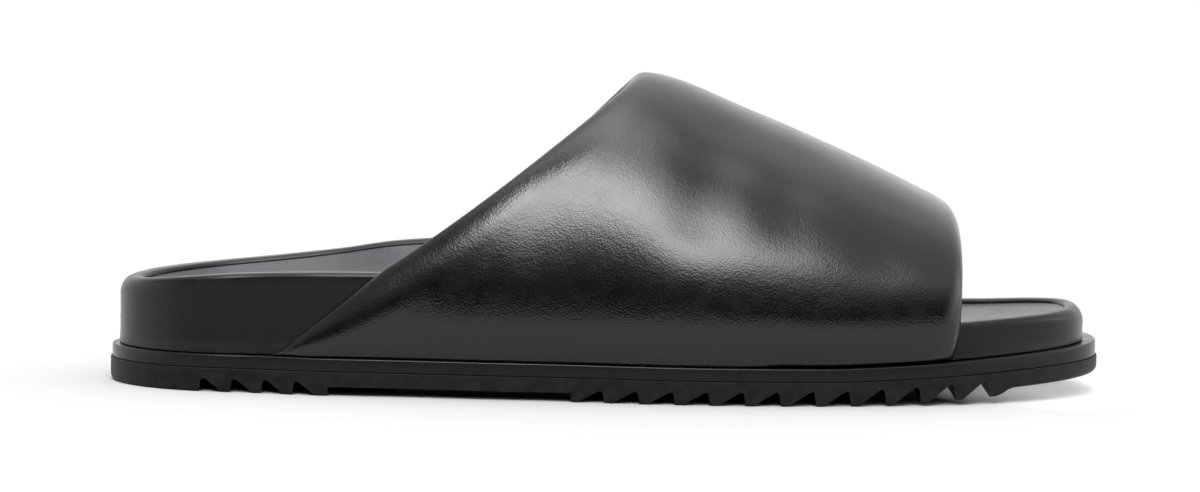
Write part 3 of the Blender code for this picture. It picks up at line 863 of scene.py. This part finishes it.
def pad(mesh, points):
    """Sinks the dents into the band's outside, along its normals."""
    normals = np.zeros(len(points) * 3)
    mesh.vertices.foreach_get("normal", normals)
    sunk = sum(dent_depth(points, dent) for dent in DENTS) * shoulder(points)
    return points - normals.reshape(-1, 3) * sunk[:, None]


# Meshes

def skin_faces(loops, count):
    return [
        (
            row * count + k,
            row * count + (k + 1) % count,
            (row + 1) * count + (k + 1) % count,
            (row + 1) * count + k,
        )
        for row in range(loops - 1)
        for k in range(count)
    ]


def loop_end(first):
    total = 2 * (BAND_STEPS + 1) + 2 * (ROLL_STEPS - 1)
    lining = BAND_STEPS + ROLL_STEPS
    last = first + lining + BAND_STEPS
    strips = [(first + i, first + i + 1, last - i - 1, last - i) for i in range(BAND_STEPS)]
    front = tuple(first + i for i in range(BAND_STEPS, lining + 1))
    rear = tuple(first + i for i in (*range(lining + BAND_STEPS, total), 0))
    return [*strips, front, rear]


def frame_shift():
    """From the script's own x, y and z to the frame's: the footbed's back and inner edge lie on its box."""
    low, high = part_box("footbed")
    xs = np.linspace(0.0, FOOTBED_LENGTH, EDGE_SAMPLES)
    return np.array([low.x, high.y - edge_y(xs, INNER).max(), 0.0])


def band_loops():
    """The closed lines round the band's wall, from its outer foot over the crown to its inner foot."""
    lines = girth()
    rears = [rear_edge(side, step) for side, step in lines]
    fronts = [front_edge(step) for _, step in lines]
    slants = zip(edge_slant(lines, rears), edge_slant(lines, fronts))
    return [
        band_loop(side, step, rear, front, *slant)
        for (side, step), rear, front, slant in zip(lines, rears, fronts, slants)
    ]


def face_outwards(mesh, face, middle):
    """Turns all faces round if this one looks towards the middle."""
    if face.normal.dot(face.center - middle) < 0:
        mesh.flip_normals()
        mesh.update()


def cover_band(mesh, wall_faces, count, leather, lining):
    """Leather outside, round most of the folds and at the feet, and lining inside."""
    mesh.materials.append(leather)
    mesh.materials.append(lining)
    first = BAND_STEPS + ROLL_STEPS - LINING_TURN
    last = 2 * BAND_STEPS + ROLL_STEPS + LINING_TURN
    for index, face in enumerate(mesh.polygons):
        face.use_smooth = True
        on_lining = index < wall_faces and first <= index % count < last
        face.material_index = 1 if on_lining else 0


def build_upper(leather, lining):
    """The broad padded band, hollow, and open at the rear, at the toe and underneath."""
    loops = band_loops()
    count = len(loops[0])
    points = np.concatenate(loops)
    faces = skin_faces(len(loops), count)
    wall_faces = len(faces)
    faces += [face[::-1] for face in loop_end(0)] + loop_end((len(loops) - 1) * count)
    mesh = bpy.data.meshes.new("padded_band")
    mesh.from_pydata([tuple(p) for p in points], [], faces)
    mesh.update()
    outside_face = mesh.polygons[wall_faces // 2 + BAND_STEPS // 2]
    face_outwards(mesh, outside_face, Vector(points.mean(axis=0)))
    placed = pad(mesh, points) + frame_shift()
    mesh.vertices.foreach_set("co", placed.ravel())
    mesh.update()
    cover_band(mesh, wall_faces, count, leather, lining)
    band = bpy.data.objects.new("padded_band", mesh)
    bpy.context.scene.collection.objects.link(band)
    stand_for(band, "upper")


# Materials

class Nodes:
    """A material's node tree, with short ways to add and join nodes."""

    def __init__(self, name):
        self.material = bpy.data.materials.new(name)
        self.material.use_nodes = True
        self.tree = self.material.node_tree
        self.shader = self.tree.nodes["Principled BSDF"]
        self.place = self.add("ShaderNodeTexCoord").outputs["Object"]

    def add(self, kind, **settings):
        node = self.tree.nodes.new(kind)
        for name, value in settings.items():
            if name in node.inputs:
                node.inputs[name].default_value = value
            else:
                setattr(node, name, value)
        return node

    def join(self, start, end):
        self.tree.links.new(start, end)

    def feed(self, value, socket):
        self.join(value, self.shader.inputs[socket])

    def set(self, socket, value):
        self.shader.inputs[socket].default_value = value

    def noise(self, scale, detail=3.0):
        node = self.add("ShaderNodeTexNoise", Scale=scale, Detail=detail)
        self.join(self.place, node.inputs["Vector"])
        return node.outputs["Fac"]

    def cells(self, scale):
        node = self.add("ShaderNodeTexVoronoi", Scale=scale)
        self.join(self.place, node.inputs["Vector"])
        return node.outputs["Distance"]

    def spread(self, value, low, high, start=0.3, end=0.7):
        """Low to high while a value runs from start to end, which by default span a noise's usual range."""
        node = self.add("ShaderNodeMapRange")
        node.inputs["From Min"].default_value = start
        node.inputs["From Max"].default_value = end
        node.inputs["To Min"].default_value = low
        node.inputs["To Max"].default_value = high
        self.join(value, node.inputs["Value"])
        return node.outputs["Result"]

    def mix(self, share, start, end):
        """From one colour to another by a share; start may also be a node's output."""
        node = self.add("ShaderNodeMix", data_type="RGBA")
        if isinstance(start, bpy.types.NodeSocket):
            self.join(start, node.inputs[MIX_START])
        else:
            node.inputs[MIX_START].default_value = (*start, 1.0)
        node.inputs[MIX_END].default_value = (*end, 1.0)
        self.join(share, node.inputs["Factor"])
        return node.outputs[MIX_RESULT]

    def raised(self, value, share, amount):
        """A value raised by a share of an amount."""
        node = self.add("ShaderNodeMath", operation="MULTIPLY_ADD")
        self.join(share, node.inputs[0])
        node.inputs[1].default_value = amount
        self.join(value, node.inputs[2])
        return node.outputs[0]

    def wear(self, patches):
        """Up to 1 along convex edges, in uneven patches, and 0 elsewhere."""
        edges = self.add("ShaderNodeNewGeometry").outputs["Pointiness"]
        node = self.add("ShaderNodeMath", operation="MULTIPLY")
        self.join(self.spread(edges, 0.0, 1.0, *WEAR_EDGES), node.inputs[0])
        self.join(self.spread(self.noise(patches), WEAR_LEAST, 1.0), node.inputs[1])
        return node.outputs[0]

    def surface(self, patches, dark, light, roughness):
        """Colour and roughness that vary in patches, paler and duller where the piece is worn."""
        wear = self.wear(patches.wear)
        plain = self.mix(self.noise(patches.colour), dark, light)
        self.feed(self.mix(wear, plain, [v + WEAR_PALENESS for v in light]), "Base Color")
        rough = self.spread(self.noise(patches.roughness), *roughness)
        self.feed(self.raised(rough, wear, WEAR_DULLNESS), "Roughness")

    def bump(self, height, relief, grain, under=None):
        """A relief of a given height pattern, over another relief where there is one."""
        node = self.add("ShaderNodeBump", Distance=relief.depth, Strength=relief.strength * grain)
        self.join(height, node.inputs["Height"])
        if under is not None:
            self.join(under, node.inputs["Normal"])
        return node.outputs["Normal"]

    def rough_relief(self, relief, grain, under=None):
        return self.bump(self.noise(relief.scale, relief.detail), relief, grain, under)


def leather_material(name, dark, light, rough, grain, specular=0.5):
    """Fine-grained leather: pebbles with creases between them, over pores and soft unevenness."""
    made = Nodes(name)
    made.set("Specular IOR Level", specular)
    made.surface(LEATHER_PATCHES, dark, light, [rough + stray for stray in LEATHER_STRAY])
    uneven = made.rough_relief(LEATHER_UNEVENNESS, grain)
    pores = made.rough_relief(LEATHER_PORES, grain, uneven)
    pebbles = made.bump(made.cells(LEATHER_PEBBLES.scale), LEATHER_PEBBLES, grain, pores)
    made.feed(pebbles, "Normal")
    return made.material


def rubber_material(name, dark, light, rough, grain, specular):
    """Moulded rubber: a fine matte texture with slight colour variation."""
    made = Nodes(name)
    made.set("Specular IOR Level", specular)
    made.surface(RUBBER_PATCHES, dark, light, [rough + stray for stray in RUBBER_STRAY])
    made.feed(made.rough_relief(RUBBER_GRAIN, grain), "Normal")
    return made.material


def edge_material(name):
    """The painted and polished edge of the midsole: smooth, only slightly uneven."""
    made = Nodes(name)
    made.set("Specular IOR Level", EDGE_SPECULAR)
    made.surface(EDGE_PATCHES, *EDGE_SHADES, EDGE_ROUGHNESS)
    made.feed(made.rough_relief(EDGE_GRAIN, 1.0), "Normal")
    return made.material


# Floor, light and camera

def build_floor():
    bpy.ops.mesh.primitive_circle_add(vertices=FLOOR_CORNERS, radius=FLOOR_RADIUS, fill_type="NGON")
    floor = bpy.context.object
    floor.name = "floor"
    made = Nodes("floor_white")
    dark = [FLOOR_GREY - FLOOR_UNEVENNESS] * 3
    light = [FLOOR_GREY + FLOOR_UNEVENNESS] * 3
    made.feed(made.mix(made.noise(FLOOR_PATCHES), dark, light), "Base Color")
    made.set("Roughness", 1.0)
    made.set("Specular IOR Level", 0.0)
    # Painted glow: the floor emits light beside the toe, which lightens the shade under the raised toe
    away = made.add("ShaderNodeVectorMath", operation="DISTANCE")
    made.join(made.place, away.inputs[0])
    away.inputs[1].default_value = TOE_GLOW_PLACE
    made.feed(made.spread(away.outputs["Value"], TOE_GLOW, 0.0, *TOE_GLOW_REACH), "Emission Strength")
    made.set("Emission Color", (1.0, 1.0, 1.0, 1.0))
    floor.data.materials.append(made.material)


class Sky:
    """The world's node tree, with the direction of the light and short ways to shape its strength."""

    def __init__(self, world):
        world.use_nodes = True
        self.tree = world.node_tree
        direction = self.tree.nodes.new("ShaderNodeTexCoord").outputs["Generated"]
        split = self.tree.nodes.new("ShaderNodeSeparateXYZ")
        self.tree.links.new(direction, split.inputs["Vector"])
        self.across, self.away, up = (split.outputs[axis] for axis in "XYZ")
        self.azimuth = self.maths("ARCTAN2", self.across, self.maths("MULTIPLY", self.away, -1.0))
        self.elevation = self.maths("ARCSINE", up, 0.0)

    def maths(self, operation, first, second):
        """Each of the two values is a number or a node's output."""
        node = self.tree.nodes.new("ShaderNodeMath")
        node.operation = operation
        for socket, value in zip(node.inputs, (first, second)):
            if isinstance(value, float):
                socket.default_value = value
            else:
                self.tree.links.new(value, socket)
        return node.outputs[0]

    def product(self, first, *others):
        for other in others:
            first = self.maths("MULTIPLY", first, other)
        return first

    def ramp(self, value, ends, low, high):
        """Low to high, softly, while a value runs between two ends."""
        node = self.tree.nodes.new("ShaderNodeMapRange")
        node.interpolation_type = "SMOOTHSTEP"
        node.inputs["From Min"].default_value = ends[0]
        node.inputs["From Max"].default_value = ends[1]
        node.inputs["To Min"].default_value = low
        node.inputs["To Max"].default_value = high
        self.tree.links.new(value, node.inputs["Value"])
        return node.outputs["Result"]

    def fade(self, angle, ends, low, high):
        """The same for an angle, with its ends in degrees."""
        return self.ramp(angle, [math.radians(end) for end in ends], low, high)


def softbox_light(sky):
    """The large softbox in front: its foot leans, its sides are soft and its upper right corner is dimmer."""
    leaning = sky.product(sky.maths("MINIMUM", sky.azimuth, 0.0), SOFTBOX_LEAN)
    low, high = (math.radians(height) for height in SOFTBOX_CORNER_HEIGHTS)
    height = sky.maths("MINIMUM", sky.maths("MAXIMUM", sky.elevation, low), high)
    corner = sky.product(sky.maths("SUBTRACT", height, low), SOFTBOX_CORNER_LEAN)
    return sky.product(
        sky.fade(sky.azimuth, SOFTBOX_LEFT, 0.0, SOFTBOX_LIGHT),
        sky.fade(sky.azimuth, SOFTBOX_RIGHT, 1.0, 0.0),
        sky.fade(sky.azimuth, (SOFTBOX_LEFT[1], 0.0), SOFTBOX_LEFT_GAIN, 1.0),
        sky.fade(sky.maths("ADD", sky.elevation, leaning), SOFTBOX_FOOT, 0.0, 1.0),
        sky.fade(sky.elevation, SOFTBOX_HEAD, 1.0, SOFTBOX_HEAD_SHARE),
        sky.fade(sky.maths("ADD", sky.azimuth, corner), SOFTBOX_CORNER, 1.0, SOFTBOX_CORNER_SHARE),
    )


def room_light(sky):
    """Pale sides, back and ceiling, with a dark front near the horizon."""
    sides = sky.product(
        sky.ramp(sky.across, LEFT_TO_RIGHT, LEFT_LIGHT, RIGHT_LIGHT),
        sky.fade(sky.elevation, HORIZON, 0.0, 1.0),
    )
    high_left = sky.product(
        sky.fade(sky.azimuth, HIGH_LEFT_TURN, HIGH_LEFT_LIGHT, 0.0),
        sky.fade(sky.elevation, HIGH_LEFT_HEIGHTS, 0.0, 1.0),
    )
    behind = sky.product(
        sky.ramp(sky.away, FRONT_TO_BACK, 0.0, 1.0),
        sky.fade(sky.elevation, BACK_HEIGHTS, BACK_LIGHT, HIGH_BACK_LIGHT),
    )
    low_right = sky.ramp(sky.across, LOW_RIGHT_ACROSS, 0.0, LOW_RIGHT_LIGHT)
    low_left = sky.product(
        sky.ramp(sky.across, LOW_LEFT_ACROSS, LOW_LEFT_LIGHT, 0.0),
        sky.fade(sky.elevation, LOW_LEFT_HEIGHTS, 1.0, 0.0),
    )
    walls = sky.maths("ADD", sides, high_left)
    for light in (behind, low_right, low_left):
        walls = sky.maths("MAXIMUM", walls, light)
    return sky.maths("ADD", walls, sky.fade(sky.elevation, OVERHEAD, 0.0, OVERHEAD_LIGHT))


def build_world():
    world = bpy.data.worlds.new("studio")
    sky = Sky(world)
    background = sky.tree.nodes["Background"]
    light = sky.maths("ADD", softbox_light(sky), room_light(sky))
    sky.tree.links.new(light, background.inputs["Strength"])
    background.inputs["Color"].default_value = (1.0, 1.0, 1.0, 1.0)
    bpy.context.scene.world = world


def build_camera():
    data = bpy.data.cameras.new("camera")
    data.lens = CAMERA_LENS
    data.sensor_width = CAMERA_SENSOR
    camera = bpy.data.objects.new("camera", data)
    bpy.context.scene.collection.objects.link(camera)
    back = Vector((0.0, -math.cos(CAMERA_ELEVATION), math.sin(CAMERA_ELEVATION)))
    turn = back.to_track_quat("Z", "Y").to_matrix().to_4x4()
    place = Matrix.Translation(CAMERA_AIM + back * CAMERA_DISTANCE)
    camera.matrix_world = place @ turn @ Matrix.Rotation(CAMERA_ROLL, 4, "Z")
    bpy.context.scene.camera = camera


def main():
    band_leather = leather_material(
        "band_leather", dark=(0.0006, 0.0006, 0.0007), light=(0.0012, 0.0012, 0.0013), rough=0.17, grain=1.3
    )
    lining = leather_material(
        "lining_leather",
        dark=(0.0030, 0.0030, 0.0032),
        light=(0.0050, 0.0050, 0.0053),
        rough=0.45,
        grain=0.8,
        specular=0.35,
    )
    wrap = leather_material(
        "wrap_leather",
        dark=(0.0011, 0.0012, 0.0013),
        light=(0.0020, 0.0022, 0.0024),
        rough=0.27,
        grain=0.35,
        specular=0.28,
    )
    cover = leather_material(
        "cover_leather", dark=(0.0200, 0.0210, 0.0225), light=(0.0300, 0.0315, 0.0340), rough=0.27, grain=0.6
    )
    rubber = rubber_material(
        "sole_rubber",
        dark=(0.0010, 0.0011, 0.0012),
        light=(0.0022, 0.0024, 0.0025),
        rough=0.45,
        grain=0.5,
        specular=0.15,
    )
    points = outline()
    build_outsole(points, rubber)
    build_midsole(points, edge_material("band_edge"))
    build_footbed(points, wrap)
    build_insole(points, cover)
    build_upper(band_leather, lining)
    build_floor()
    build_world()
    build_camera()
    bpy.context.scene.view_settings.view_transform = "Standard"


main()
